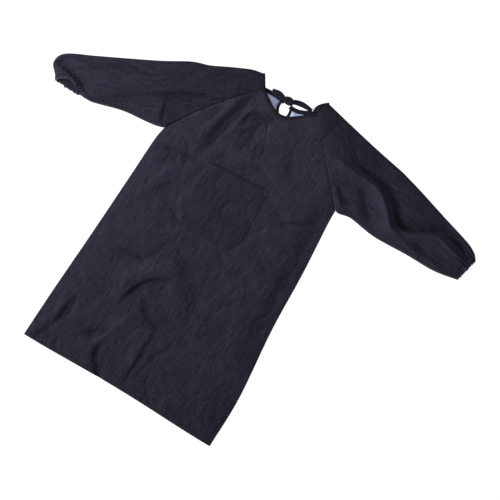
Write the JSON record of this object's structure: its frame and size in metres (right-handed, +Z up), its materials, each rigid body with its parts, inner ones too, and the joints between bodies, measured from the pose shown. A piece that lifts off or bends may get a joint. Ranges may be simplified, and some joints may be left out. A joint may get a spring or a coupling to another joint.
{
  "type": "smock apron",
  "caption": "Long-sleeved cook's smock apron in dark indigo denim with a patch pocket, elastic cuffs and a tied keyhole back, lying flat with its sleeves spread",
  "frame": {"origin": "middle of the garment's outline, on the surface it lies on", "axes": "+X across the garment to the right sleeve as seen from the front, +Y from hem to neck, +Z up out of the front"},
  "size_m": [1.3636, 1.04, 0.029],
  "materials": {
    "denim": "matte light denim with slub streaks",
    "tape": "matte navy bias tape"
  },
  "bodies": {
    "root": {"front_panel": "denim", "front_pocket": "denim", "back_panel": "denim", "keyhole_binding": "tape", "sleeve_left": "denim", "cuff_left": "denim", "sleeve_right": "denim", "cuff_right": "denim", "neck_binding": "tape", "bow_knot": "tape", "tie_end_right": "tape", "tie_end_left": "tape", "bow_loop": "tape"}
  },
  "joints": []
}
